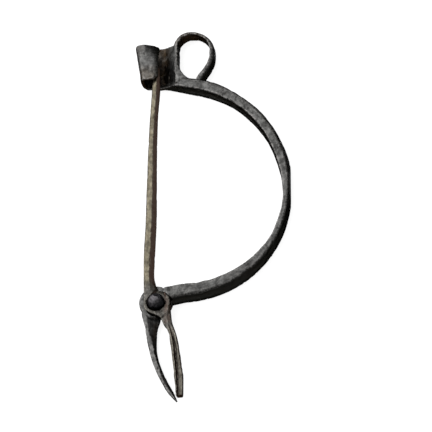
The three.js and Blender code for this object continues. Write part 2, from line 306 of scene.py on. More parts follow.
class Skin:
    """A welded skin being worked: numpy arrays of its points, edges and normals."""

    def __init__(self, shell: Shell) -> None:
        """Reads the edges from the shell's faces."""
        self.points = shell.points.copy()
        self.faces = shell.faces
        corners = np.array([len(face) for face in self.faces])
        flat = np.concatenate([np.asarray(face) for face in self.faces])
        ends = np.cumsum(corners)
        following = np.arange(len(flat)) + 1
        following[ends - 1] = ends - corners
        edges = np.sort(np.column_stack([flat, flat[following]]), axis=1)
        self.edges = np.unique(edges, axis=0)
        self.flat, self.following, self.corners = flat, following, corners

    def neighbours_mean(self, values: np.ndarray) -> np.ndarray:
        """The mean of the values at each point's neighbours."""
        count = len(self.points)
        one, other = self.edges.T
        degree = np.bincount(one, minlength=count) + np.bincount(other, minlength=count)
        total = np.empty_like(values)
        for column in range(values.shape[1]):
            total[:, column] = np.bincount(one, values[other, column], count)
            total[:, column] += np.bincount(other, values[one, column], count)
        return total / np.maximum(degree, 1)[:, None]

    def relax(self, passes: int, strength: float = 0.5) -> None:
        """Smooths the grain of the weld without thinning the metal.

        Each pass moves every point towards the mean of its neighbours, and then a little further away.
        """
        for _ in range(passes):
            for step in (strength, -1.06 * strength):
                self.points += step * (self.neighbours_mean(self.points) - self.points)

    def normals(self) -> np.ndarray:
        """Unit normals: at each point, the sum of the cross products of its faces' neighbouring corners."""
        here = self.points[self.flat]
        after = self.points[self.flat[self.following]]
        crosses = np.cross(here, after)
        starts = np.concatenate([[0], np.cumsum(self.corners)[:-1]])
        by_face = np.repeat(np.add.reduceat(crosses, starts, axis=0), self.corners, axis=0)
        count = len(self.points)
        summed = np.column_stack([np.bincount(self.flat, by_face[:, axis], count) for axis in range(3)])
        return summed / np.maximum(np.linalg.norm(summed, axis=1, keepdims=True), 1e-12)

    def hammer(
        self, rng: np.random.Generator, blows: int, reach: float, depth: float, tilt: float, edges: bool = False
    ) -> None:
        """Flattens the skin with hammer blows.

        Each blow lands on a random point and pushes what stands above a plane there down to it. The plane
        is square to the normal, tilted a little, and the push fades out at the blow's reach.

        Args:
            rng: The seeded source of places.
            blows: How many blows fall.
            reach: Radius of the hammer's face.
            depth: How deep each blow goes.
            tilt: Spread of the tilt, as a slope.
            edges: Whether the blows only nick the edges.
        """
        normals = self.normals()
        places = np.flatnonzero(self.hollowness(3) < -0.04) if edges else np.arange(len(self.points))
        for middle in rng.choice(places, blows):
            way = normals[middle] + tilt * rng.normal(size=3)
            way /= np.linalg.norm(way)
            size = reach * rng.uniform(0.6, 1.2)
            near = np.flatnonzero(np.abs(self.points - self.points[middle]).max(axis=1) < size)
            offset = self.points[near] - self.points[middle]
            above = np.clip(offset @ way + depth, 0, 3 * depth)
            fade = np.clip(1 - (np.linalg.norm(offset, axis=1) / size) ** 4, 0, 1)
            self.points[near] -= (above * fade)[:, None] * way

    def swell(self, height: np.ndarray) -> None:
        """Moves each point outwards by its own height."""
        self.points += height[:, None] * self.normals()

    def pit(self, rng: np.random.Generator, count: int, reach: float, depth: float) -> None:
        """Eats round pits into the skin, each a bell-shaped dip along the normal at its middle."""
        normals = self.normals()
        for middle in rng.integers(0, len(self.points), count):
            size = reach * rng.uniform(0.5, 1.3)
            near = np.flatnonzero(np.abs(self.points - self.points[middle]).max(axis=1) < 2.5 * size)
            apart = np.linalg.norm(self.points[near] - self.points[middle], axis=1)
            dip = depth * rng.uniform(0.4, 1.2) * np.exp(-((apart / size) ** 2))
            self.points[near] -= dip[:, None] * normals[middle]

    def roughen(self, seed: int, size: float, height: float) -> None:
        """Moves points along their normals by smooth noise of one size and height."""
        self.points += (height * noise(self.points / size, seed))[:, None] * self.normals()

    def smoothed(self, values: np.ndarray, passes: int) -> np.ndarray:
        """Values spread over the skin by taking the mean of the neighbours a few times."""
        for _ in range(passes):
            values = self.neighbours_mean(values)
        return values

    def hollowness(self, passes: int) -> np.ndarray:
        """How hollow the skin is about each point: over 0 in a corner and under 0 on an edge, in mm."""
        return np.einsum("ij,ij->i", self.smoothed(self.points, passes) - self.points, self.normals())


def noise(places: np.ndarray, seed: int) -> np.ndarray:
    """Smooth noise from -1 to 1: random values on a lattice, blended by S-shaped ramps along each axis."""
    side = 32
    table = np.random.default_rng(seed).uniform(-1, 1, (side, side, side))
    cell = np.floor(places).astype(int)
    share = places - cell
    share = share * share * (3 - 2 * share)
    total = np.zeros(len(places))
    for corner in np.ndindex(2, 2, 2):
        weight = np.prod(np.where(corner, share, 1 - share), axis=1)
        x, y, z = ((cell + corner) % side).T
        total += weight * table[x, y, z]
    return total


def streaks(places: np.ndarray, seed: int) -> np.ndarray:
    """Values from 0 to 1 that vary slowly along the first axis and quickly across the others."""
    long = noise(places / [4, 0.5, 0.5], seed)
    short = noise(places / [1.2, 0.3, 0.3], seed + 1)
    return np.clip(0.5 + 0.45 * long + 0.4 * short, 0, 1)


# ---------------------------------------------------------------- finishes


@dataclass(frozen=True)
class Patina:
    """The finish of one piece of old bronze. Colours are linear and sizes in millimetres."""

    name: str
    face: tuple[float, float, float]  # surfaces facing up and to the left: polished by handling, and the lit colour of painted light
    shaded_flank: tuple[float, float, float]  # steep sides, which nothing rubs, kept near black as painted shade
    warm: tuple[float, float, float]
    # Lighter colour for worn edges, partly a painted highlight on edges facing the key light.
    edge: tuple[float, float, float]
    # Dark brown for painted shade in hollows and painted shadow, partly earthy brown and stain.
    earth_and_shade: tuple[float, float, float]
    mottle: float = 1.5
    grain: float = 0.3
    roughness: tuple[float, float] = (0.3, 0.5)
    glancing: float = 0.25  # share of the light kept at a glancing angle
    bump: float = 0.3
    contrast: float = 0.35  # colour of the dullest spots of a face, as a share of the face's

    def dull(self, colour: tuple[float, float, float]) -> tuple[float, ...]:
        """The colour of a face's dullest spots."""
        return tuple(self.contrast * channel for channel in colour)

    def make(self) -> bpy.types.Material:
        """Builds the material: lit faces or shaded flanks as painted light and shade, mottled, warmed, worn and
        highlighted at its edges, and darkened in its hollows by painted shade and earthy brown.
        """
        material = bpy.data.materials.new(self.name)
        material.use_nodes = True
        brush = Brush(material)
        mottled = brush.ramp(brush.speckle(self.mottle, 5), 0.34, 0.66)
        scuffed = brush.ramp(brush.speckle(self.grain * 2, 3), 0.4, 0.6)
        shaded = brush.mean(mottled, brush.layer(Layer.STREAK))
        face = brush.mixed(brush.layer(Layer.WARM), self.face, self.warm)
        dull = brush.mixed(brush.layer(Layer.WARM), self.dull(self.face), self.dull(self.warm))
        # Steep sides get the near-black colour as painted shade, and surfaces facing the key light the lighter
        # colours as painted light.
        shaded_flank = brush.mixed(brush.layer(Layer.WARM), self.shaded_flank, self.earth_and_shade)
        lit_and_shaded = brush.mixed(brush.layer(Layer.FACE), shaded_flank, brush.mixed(shaded, dull, face))
        # Edges lightened where they face the key light: wear and painted highlight.
        worn = brush.mixed(brush.product(brush.layer(Layer.WEAR_AND_HIGHLIGHT), scuffed), lit_and_shaded, self.edge)
        # Darkened with painted shade in hollows and painted shadow, and with earthy brown.
        colour = brush.mixed(brush.layer(Layer.EARTH_AND_SHADE), worn, self.earth_and_shade)
        shader = brush.shader
        brush.links.new(colour, shader.inputs["Base Color"])
        shader.inputs["Metallic"].default_value = 1
        shader.inputs["Specular Tint"].default_value = (self.glancing, self.glancing, self.glancing, 1)
        gloss = brush.between(mottled, self.roughness[1], self.roughness[0])
        brush.links.new(gloss, shader.inputs["Roughness"])
        brush.links.new(brush.bumped(brush.speckle(self.grain, 5), self.bump), shader.inputs["Normal"])
        return material


class Brush:
    """Lays down the nodes of one material, which all read Object coordinates or a layer of the skin."""

    def __init__(self, material: bpy.types.Material) -> None:
        """Clears the material's tree and gives it one shader."""
        self.nodes, self.links = material.node_tree.nodes, material.node_tree.links
        self.nodes.clear()
        output = self.nodes.new("ShaderNodeOutputMaterial")
        self.shader = self.nodes.new("ShaderNodeBsdfPrincipled")
        self.links.new(self.shader.outputs["BSDF"], output.inputs["Surface"])
        self.place = self.nodes.new("ShaderNodeTexCoord").outputs["Object"]

    def speckle(self, size: float, detail: float) -> bpy.types.NodeSocket:
        """Fractal noise of a size in millimetres."""
        node = self.nodes.new("ShaderNodeTexNoise")
        node.inputs["Scale"].default_value = 1 / (size * METRES)
        node.inputs["Detail"].default_value = detail
        node.inputs["Roughness"].default_value = 0.6
        self.links.new(self.place, node.inputs["Vector"])
        return node.outputs["Fac"]

    def ramp(self, value: bpy.types.NodeSocket, low: float, high: float) -> bpy.types.NodeSocket:
        """0 below low, 1 above high and smooth between."""
        node = self.nodes.new("ShaderNodeMapRange")
        node.interpolation_type = "SMOOTHSTEP"
        node.inputs["From Min"].default_value = low
        node.inputs["From Max"].default_value = high
        self.links.new(value, node.inputs["Value"])
        return node.outputs["Result"]

    def between(self, share: bpy.types.NodeSocket, none: float, full: float) -> bpy.types.NodeSocket:
        """A number that goes from one value to another with a share."""
        node = self.nodes.new("ShaderNodeMapRange")
        node.inputs["To Min"].default_value = none
        node.inputs["To Max"].default_value = full
        self.links.new(share, node.inputs["Value"])
        return node.outputs["Result"]

    def mixed(self, share: bpy.types.NodeSocket, none: object, full: object) -> bpy.types.NodeSocket:
        """A colour between two, each a colour or a socket."""
        node = self.nodes.new("ShaderNodeMix")
        node.data_type = "RGBA"
        self.links.new(share, node.inputs["Factor"])
        for socket, colour in ((node.inputs[6], none), (node.inputs[7], full)):
            if isinstance(colour, bpy.types.NodeSocket):
                self.links.new(colour, socket)
            else:
                socket.default_value = (*colour, 1)
        return node.outputs[2]

    def layer(self, layer: Layer) -> bpy.types.NodeSocket:
        """A layer of the skin."""
        node = self.nodes.new("ShaderNodeAttribute")
        node.attribute_name = layer.value
        return node.outputs["Fac"]

    def mean(self, one: bpy.types.NodeSocket, other: bpy.types.NodeSocket) -> bpy.types.NodeSocket:
        """The mean of two values."""
        node = self.nodes.new("ShaderNodeMix")
        self.links.new(one, node.inputs["A"])
        self.links.new(other, node.inputs["B"])
        return node.outputs["Result"]

    def product(self, one: bpy.types.NodeSocket, other: bpy.types.NodeSocket) -> bpy.types.NodeSocket:
        """One value times another."""
        node = self.nodes.new("ShaderNodeMath")
        node.operation = "MULTIPLY"
        self.links.new(one, node.inputs[0])
        self.links.new(other, node.inputs[1])
        return node.outputs["Value"]

    def bumped(self, height: bpy.types.NodeSocket, strength: float) -> bpy.types.NodeSocket:
        """A normal tipped by a height of up to an eighth of a millimetre."""
        node = self.nodes.new("ShaderNodeBump")
        node.inputs["Strength"].default_value = strength
        node.inputs["Distance"].default_value = 0.12 * METRES
        self.links.new(height, node.inputs["Height"])
        return node.outputs["Normal"]


DARK = Patina(
    "dark_patina",
    face=(0.074, 0.074, 0.072), shaded_flank=(0.01, 0.01, 0.009), warm=(0.06, 0.05, 0.04),
    edge=(0.13, 0.125, 0.12), earth_and_shade=(0.02, 0.014, 0.009),
)
OLIVE = Patina(
    "olive_patina",
    face=(0.07, 0.067, 0.062), shaded_flank=(0.012, 0.011, 0.009), warm=(0.115, 0.101, 0.071),
    edge=(0.15, 0.14, 0.12), earth_and_shade=(0.065, 0.042, 0.033),
)
GREY = Patina(
    "grey_patina",
    face=(0.05, 0.048, 0.051), shaded_flank=(0.01, 0.01, 0.011), warm=(0.05, 0.045, 0.045),
    edge=(0.16, 0.15, 0.16), earth_and_shade=(0.01, 0.009, 0.009), mottle=1.2,
)


def finished(
    skin: Skin, node: str, body: str, patina: Patina, layers: dict[Layer, np.ndarray]
) -> bpy.types.Object:
    """Puts a worked skin into the scene in place of its solid.

    Args:
        skin: The skin, in millimetres.
        node: The solid that it stands for.
        body: The body that it rides on.
        patina: Its finish, whose name the material takes.
        layers: The piece's own layers, from 0 to 1, before the skin's shape adds to them.

    Returns:
        The finished piece.
    """
    low, high = (np.array(corner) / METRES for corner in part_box(node))
    skin.points = np.clip(skin.points, low, high)
    made = as_object(Shell(skin.points, skin.faces), f"{node}_skin", METRES)
    hollow = skin.hollowness(6)
    # How far each point faces the key light, up and to the left, which sets the painted light.
    facing = skin.smoothed(skin.normals() @ PAINTED_LIGHT_WAY[:, None], 2)[:, 0]
    shaped = {
        # painted light where the skin faces the key light, painted shade on steep sides
        Layer.FACE: smoothstep(facing, 0.6, 0.93),
        # worn edges, partly a painted highlight where they face the key light
        Layer.WEAR_AND_HIGHLIGHT: (0.1 - hollow / 0.12) * smoothstep(facing, 0.2, 0.7),
        # painted shade in hollows, partly earthy brown
        Layer.EARTH_AND_SHADE: hollow / 0.15,
    }
    for layer in Layer:
        value = np.clip(layers.get(layer, 0) + shaped.get(layer, np.zeros(len(hollow))), 0, 1)
        attribute = made.data.attributes.new(layer.value, "FLOAT", "POINT")
        attribute.data.foreach_set("value", value.astype(np.float32))
    made.data.shade_smooth()
    made.data.materials.append(patina.make())
    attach(made, body)
    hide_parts(node)
    LOG.info("%s: %d triangles", made.name, sum(len(face) - 2 for face in skin.faces))
    return made


# ---------------------------------------------------------------- the pieces


@dataclass
class Hinge:
    """Sizes that all three pieces share at the rivet."""

    gap: float = 0.3
    rivet_radius: float = 1.4
    tail_radius: float = 2.1
    cheek_bottom: float = 0.8
    cheek_top: float = 2.3
    eye_bottom: float = 2.6
    eye_top: float = 4.65
    eye_centre: tuple[float, float] = (0.05, 0.15)
    seat_depth: float = 0.5
    seat_rings: Rows = ((2.75, -0.1, 0.4), (2.2, 0.5, 1.9))  # (radius, x, y)
    eye_radius: float = 3.85

    def bore(self) -> Shell:
        """The cutter of the hole that the rivet's shank goes through."""
        radius = self.rivet_radius + self.gap
        return turned(((radius, -1), (radius, self.eye_top + 1)), (0, 0))

    def seats(self) -> list[Shell]:
        """The cutters of the two dips in the eye's face: the ring round the rivet's head and one above it."""
        floor, top = self.eye_top - self.seat_depth, self.eye_top + 2
        return [turned(((radius, floor), (radius + 0.1, top)), centre) for radius, *centre in self.seat_rings]

    def tail_room(self) -> Shell:
        """The cutter of the room behind the cheek for the rivet's tail."""
        radius = self.tail_radius + self.gap
        return turned(((radius, -1), (radius, self.cheek_bottom)), (0, 0))


@dataclass
class Bow:
    """The bow: bar, rolled catch, loop, hinge cheek and pointed horn, forged in one."""

    hinge: Hinge
    voxel: float = 0.186
    centre: tuple[float, float] = (4, 37.5)
    radius: float = 33.07
    lobes: Rows = ((2, 1.72), (3, 0.32), (4, 0.12))  # (number of lobes, swell)
    bulge: float = -51.2  # all peak towards this angle
    top_angle: float = 100
    foot_angle: float = -84
    widths: Rows = (
        (-90, 3.8), (-70, 3.45), (-58, 3.05), (-45, 2.45), (-34, 2.0), (-25, 1.75), (-11, 1.7), (0, 2.2),
        (12, 2.6), (25, 2.65), (40, 2.95), (55, 3.0), (70, 3.4), (78, 3.45), (84, 3.05), (90, 2.05), (95, 1.15),
        (100, 0.8),
    )
    depths: Rows = ((-90, 3.8), (80, 3.8), (86, 3.7), (90, 3), (95, 1.3), (100, 0.8))
    flare: float = 0.15
    ledge: tuple[float, float] = (0.38, 0.62)  # heights between which the foot's ledge slopes in
    outer_bevel: float = 0.24  # share of the width that the outer edge is rounded off
    inner_bevel: float = 0.08
    foot_bend: tuple[float, float] = (3.5, 3.55)
    foot_end: tuple[float, float] = (-0.5, 2.9)
    foot_width: float = 3.9
    shoulder: float = 68  # the full depth starts this far round from +X at the hinge
    cheek_centre: tuple[float, float] = (-0.65, 1.7)
    cheek_radius: float = 4.75
    catch_low: float = 70.6
    catch_high: float = 84
    low_slope: float = -0.08
    high_lean: float = -0.25
    catch_right: float = 5.2
    root_left: float = 0.3
    root_depth: float = 3.65
    hollow_width: float = 4.7
    hollow_path: Rows = ((85.5, 0.3), (80, 0.3), (75, 0.3), (71.6, 1), (68.5, 2.2))  # (y, x)
    roll_left: tuple[float, float] = (-5.05, -6.75)  # at the bottom and at the top
    roll_height: float = 6.8
    roll_crown: float = 0.62
    roll_square: float = 0.75  # 1 rounds the roll like an ellipse, less makes it squarer
    sheet: float = 0.85
    lip_droop: float = 2.6
    lip_fall: float = 0.7
    lip_cut: float = 0.9
    lip_corner: float = 1.6  # radius of the lip's upper corner
    mouth: float = 0.25
    strap_depth: float = 3.6
    strap_path: Rows = (
        (4.75, 76), (4.75, 80.4), (5.15, 84.2), (6.6, 85.9), (9.4, 86.5), (12.4, 85.5), (14.0, 84.1), (15.05, 82.1),
        (15.32, 79.8), (15.15, 77.7), (14.35, 75.5), (12.95, 73.4), (11.5, 71.2),
    )
    strap_widths: Rows = (
        (0, 1.3), (0.14, 1.3), (0.25, 1.2), (0.33, 1.05), (0.42, 0.9), (0.5, 0.85), (0.57, 1), (0.65, 1.2),
        (0.72, 1.3), (0.84, 1.25), (0.92, 1.4), (1, 1.7),
    )
    strap_bevels: Rows = ((0, 0.9), (0.15, 0.8), (0.3, 0.15), (0.48, 0.2), (0.6, 0.5), (0.85, 0.5), (1, 0.2))
    horn_path: Rows = (
        (-1.75, -1.5), (-1.95, -6), (-1.85, -9.5), (-1.2, -14.5), (0.33, -19.5), (2.65, -24.5), (5.3, -29.1),
    )
    horn_widths: Rows = (
        (0, 6), (0.1, 4.5), (0.155, 3.5), (0.21, 2.95), (0.31, 2.35), (0.42, 1.8), (0.55, 1.6), (0.76, 1.45),
        (0.9, 1.2), (1, 0.3),
    )
    horn_ridges: Rows = ((0, -0.6), (0.2, -0.4), (0.4, 0.4), (0.6, 0.3), (0.75, -0.3), (1, 0))  # share of half width
    horn_drops: Rows = ((0, 1.1), (0.3, 0.8), (0.5, 0.6), (1, 0.5))  # fall of the face to its right edge
    horn_bottoms: Rows = ((0, 0.8), (0.3, 0.4), (0.8, 0.5), (1, 1.1))

    def middle(self, angle: np.ndarray) -> np.ndarray:
        """The bar's middle at angles about the centre: a circle with a few slight swells."""
        turn, off = np.radians(angle), np.radians(angle - self.bulge)
        radius = self.radius + sum(swell * np.cos(count * off) for count, swell in self.lobes)
        x = self.centre[0] + radius * np.cos(turn)
        y = self.centre[1] + radius * np.sin(turn)
        return np.column_stack([x, y, np.zeros(len(turn))])

    def bar(self) -> Shell:
        """The bar, from the catch clockwise to the hinge, cut away where the eye and shank turn."""
        angles = np.linspace(self.top_angle, self.foot_angle, 200)
        share = np.linspace(0, 1, 20)[1:, None]
        start = self.middle(angles[-1:])
        bend, end = (np.array([*point, 0.0]) for point in (self.foot_bend, self.foot_end))
        foot = (1 - share) ** 2 * start + 2 * share * (1 - share) * bend + share**2 * end
        path = np.vstack([self.middle(angles), foot])
        widths = width_through(self.widths, angles)
        widths = np.concatenate([widths, widths[-1] + share[:, 0] * (self.foot_width - widths[-1])])
        depths = np.interp(angles, *np.array(self.depths).T)
        depths = np.concatenate([depths, np.full(len(share), depths[-1])])
        outer = self.bar_side(widths, depths, self.outer_bevel)
        inner = self.bar_side(widths, depths, self.inner_bevel)[:, ::-1] * [-1, 1]
        shell = swept(path, directions(path), np.concatenate([outer, inner], axis=1))
        return cut(shell, self.hinge_room())

    def bar_side(self, width: np.ndarray, depth: np.ndarray, bevel: float) -> np.ndarray:
        """Half of the bar's section, from the foot up over its ledge to the edge of the face.

        Args:
            width: Width of the bar at each station.
            depth: Depth of the bar at each station.
            bevel: Share of the width that the edge of the face is rounded off.

        Returns:
            (across, up) for each station and each point of the half section.
        """
        low, high = self.ledge
        spread = np.array([0.6, 0.9, 1, 0.9, 0.1, 0, 0, 0, 0]) * self.flare
        inset = np.array([0, 0, 0, 0, 0, 0.02, 0.15, 0.45, 1]) * bevel
        height = np.array([0, 0.03, 0.1, low, high, 1 - 1.2 * bevel, 1 - 0.5 * bevel, 1 - 0.15 * bevel, 1])
        return np.stack([(0.5 + spread - inset) * width[:, None], height * depth[:, None]], -1)

    def hinge_room(self) -> Shell:
        """The cutter of all that the eye and the root of the shank turn through, above the cheek."""
        hinge, reach = self.hinge, 12.0
        radius = hinge.eye_radius + hinge.gap
        turn = np.radians(np.linspace(-100, self.shoulder - 40, 24))
        arc = np.column_stack([np.cos(turn), np.sin(turn)]) * radius + hinge.eye_centre
        shoulder = np.radians(self.shoulder)
        edge = np.array([[np.cos(shoulder), np.sin(shoulder)]])
        outline = np.vstack([arc, edge * radius, edge * reach, [[-reach, reach], [-reach, -radius]]])
        low = np.column_stack([outline, np.full(len(outline), hinge.cheek_top + 0.01)])
        high = low + [0, 0, reach]
        return lofted(np.stack([low, high]))

    def catch(self) -> Shell:
        """The catch: a sheet that leaves the bar's depth through a hollow and rolls forward over the pin."""
        rise = np.linspace(1, 0, 60)
        y = self.catch_low + rise * (self.catch_high - self.catch_low)
        left = self.roll_left[0] + rise * (self.roll_left[1] - self.roll_left[0])
        radius, sheet = self.roll_height / 2, self.sheet
        corner = np.clip(1 + (y - self.catch_high) / self.lip_corner, 0, 1)
        corner = 1 - np.sqrt(1 - corner**2)
        left = left + 0.35 * corner
        crown = left + self.roll_crown * radius
        mouth = self.mouth - self.lip_cut * (1 - smoothstep(rise, 0, 0.12)) - self.lip_corner * corner
        droop = self.lip_droop * smoothstep(rise, 0.55, 1.05)
        lip = np.linspace(1, 0, 16)
        lip_x = crown[:, None] + lip * (mouth - crown)[:, None]
        lip_z = self.roll_height - droop[:, None] * lip**2
        round_off = self.lip_fall * lip**6
        turn = np.pi * (0.5 + np.linspace(0, 1, 30)[1:])
        round_x = -np.abs(np.cos(turn)) ** self.roll_square
        round_z = np.sign(np.sin(turn)) * np.abs(np.sin(turn)) ** self.roll_square
        round_z = np.broadcast_to(round_z, (len(y), len(turn)))
        outer_x = np.column_stack([lip_x, crown[:, None] + (crown - left)[:, None] * round_x])
        outer_z = np.column_stack([lip_z - round_off, radius + radius * round_z])
        inner_x = np.column_stack([lip_x, crown[:, None] + (crown - left - sheet)[:, None] * round_x])
        inner_z = np.column_stack([lip_z - sheet - 0.35 * round_off, radius + (radius - sheet) * round_z])
        start = np.interp(y, *np.array(self.hollow_path)[::-1].T)
        slope = np.linspace(1, 0, 16)
        hollow_x = start[:, None] + self.hollow_width * slope
        hollow_z = sheet + (self.root_depth - sheet) * slope**2 * (2.4 - 1.4 * slope)
        hollow_z = np.broadcast_to(hollow_z, hollow_x.shape)
        reach = np.maximum(hollow_x[:, :1], self.catch_right)
        ones = np.ones((len(y), 1))
        x = np.column_stack([outer_x, reach + 0.05, reach + 0.05, hollow_x, inner_x[:, ::-1]])
        z = np.column_stack([outer_z, 0 * ones, self.root_depth * ones, hollow_z, inner_z[:, ::-1]])
        lean = self.low_slope * x * (1 - rise)[:, None] + self.high_lean * z * rise[:, None]
        return lofted(np.stack([x, y[:, None] + lean, z], axis=-1))

    def strap(self) -> Shell:
        """The loop: a thin strap on edge, round from the catch to the bar."""
        path, ways = curve_through(self.strap_path, 120)
        share = np.linspace(0, 1, 120)
        side = width_through(self.strap_widths, share)[:, None] / 2
        bevel = 2 * width_through(self.strap_bevels, share)[:, None]
        ones = np.ones_like(side)
        across = side * np.concatenate([0.95 * ones, ones, ones, 1 - 0.3 * bevel, 1 - bevel, -0.95 * ones, -ones,
                                        -ones, -0.95 * ones], 1)
        low, top = 0 * ones, self.strap_depth * ones
        up = np.concatenate([low, low + 0.1, top - 0.6, top - 0.15, top, top, top - 0.1, low + 0.1, low], 1)
        return swept(path, ways, np.stack([across, up], axis=-1))

    def web(self) -> Shell:
        """The metal that fills the corner between the catch's root and the top of the bar."""
        share = np.linspace(0, 1, 12)[:, None]
        start, corner, end = np.array([[5.2, 78.0], [6.3, 72.4], [9.4, 71.6]])
        sag = (1 - share) ** 2 * start + 2 * share * (1 - share) * corner + share**2 * end
        outline = np.vstack([sag[::-1], [[4.5, 78], [4.5, 71], [9.6, 70.5]]])
        rings = np.stack([np.column_stack([outline, np.full(len(outline), z)]) for z in (0, self.strap_depth)])
        return lofted(rings)

    def cheek(self) -> Shell:
        """The back plate of the hinge."""
        hinge = self.hinge
        turn = np.linspace(0, 2 * np.pi, 72, endpoint=False)
        outline = self.cheek_radius * np.column_stack([np.cos(turn), np.sin(turn)]) + self.cheek_centre
        return plate(outline, hinge.cheek_bottom, hinge.cheek_top, 0.3)

    def horn(self) -> Shell:
        """The left prong, which ends in a point."""
        path, ways = curve_through(self.horn_path, 90)
        share = np.linspace(0, 1, 90)
        side = width_through(self.horn_widths, share)[:, None] / 2
        bottom = width_through(self.horn_bottoms, share)[:, None]
        top = self.hinge.cheek_top
        ridge = width_through(self.horn_ridges, share)[:, None]
        drop = width_through(self.horn_drops, share)[:, None]
        # the path runs down, so its left is the brooch's right
        across = np.concatenate([np.array([-1, -0.7, 0.7, 1, 1]) * np.ones_like(side), ridge, -np.ones_like(side)], 1)
        up = np.concatenate([bottom + [0.4, 0, 0, 0.3], top - drop, np.full_like(side, top), np.full_like(side, top - 0.25)], 1)
        return swept(path, ways, np.stack([across * side, up], axis=-1))

    def build(self) -> bpy.types.Object:
        """Welds the parts, works the skin and puts it into the scene."""
        parts = [self.bar(), self.catch(), self.strap(), self.web(), self.cheek(), self.horn()]
        skin = Skin(welded(parts, self.voxel))
        skin.relax(2)
        rng = np.random.default_rng(11)
        skin.hammer(rng, 420, 2.2, 0.04, 0.05)
        skin.hammer(rng, 160, 0.8, 0.04, 0.3, edges=True)
        skin.roughen(3, 1.3, 0.03)
        skin.pit(rng, 500, 0.3, 0.06)
        skin.swell(0.05 + 0.03 * self.streaks(skin.points))
        worked = cut(Shell(skin.points, skin.faces), self.hinge.bore())
        worked = cut(worked, self.hinge.tail_room())
        skin = Skin(worked)
        layers = {
            Layer.EARTH_AND_SHADE: self.earth_and_shade(skin.points),
            Layer.WARM: self.warmth(skin.points),
            Layer.STREAK: self.streaks(skin.points),
        }
        return finished(skin, "bow", "bow", DARK, layers)

    def streaks(self, points: np.ndarray) -> np.ndarray:
        """Streaks round the bar, and up and down the catch and the horn."""
        x, y, z = points.T
        from_centre = points[:, :2] - self.centre
        radius = np.linalg.norm(from_centre, axis=1)
        along = self.radius * np.arctan2(from_centre[:, 1], from_centre[:, 0])
        round_bar = streaks(np.column_stack([along, radius, z]), 31)
        upright = streaks(np.column_stack([y, x, z]), 33)
        on_bar = smoothstep(x, 4.5, 8)
        return on_bar * round_bar + (1 - on_bar) * upright

    def earth_and_shade(self, points: np.ndarray) -> np.ndarray:
        """Painted shadow of the roll on the sheet behind the catch, and of the eye on the horn's root, with some real
        brown staining.
        """
        x, y, z = points.T
        # painted shadow of the roll, darkest in the trough behind it
        sheet = smoothstep(-x, -4.2, -1.6) * smoothstep(y, 71, 73) * smoothstep(-z, -3.2, -1.8) * (x > -1)
        # painted shadow of the eye on the horn's root, partly brown
        horn = smoothstep(-y, 4, 6) * smoothstep(y, -14, -7) * smoothstep(x, -2, -0.8)
        return np.clip(sheet + 0.8 * horn, 0, 1) * (0.75 + 0.25 * noise(points / 1.2, 21))

    def warmth(self, points: np.ndarray) -> np.ndarray:
        """Brown inside the loop, on the upper catch and along the lower sheet."""
        x, y, _ = points.T
        loop = smoothstep(y, 82, 85)
        catch = 0.5 * smoothstep(-x, 3, 5) * smoothstep(y, 78, 83)
        sheet = smoothstep(-x, -4, -1) * smoothstep(y, 69, 71) * smoothstep(-y, -76, -73)
        return np.clip(loop + catch + sheet, 0, 1) * (0.6 + 0.4 * noise(points / 1.6, 22))


def slab(side: np.ndarray, bottom: np.ndarray, top: np.ndarray, edge: float = 0.15) -> np.ndarray:
    """Rectangles with their corners cut off, one ring a row, from half widths and heights."""
    across = np.concatenate([-side + edge, side - edge, side, side, side - edge, -side + edge, -side, -side], 1)
    up = np.concatenate([bottom, bottom, bottom + edge, top - edge, top, top, top - edge, bottom + edge], 1)
    return np.stack([across, up], axis=-1)


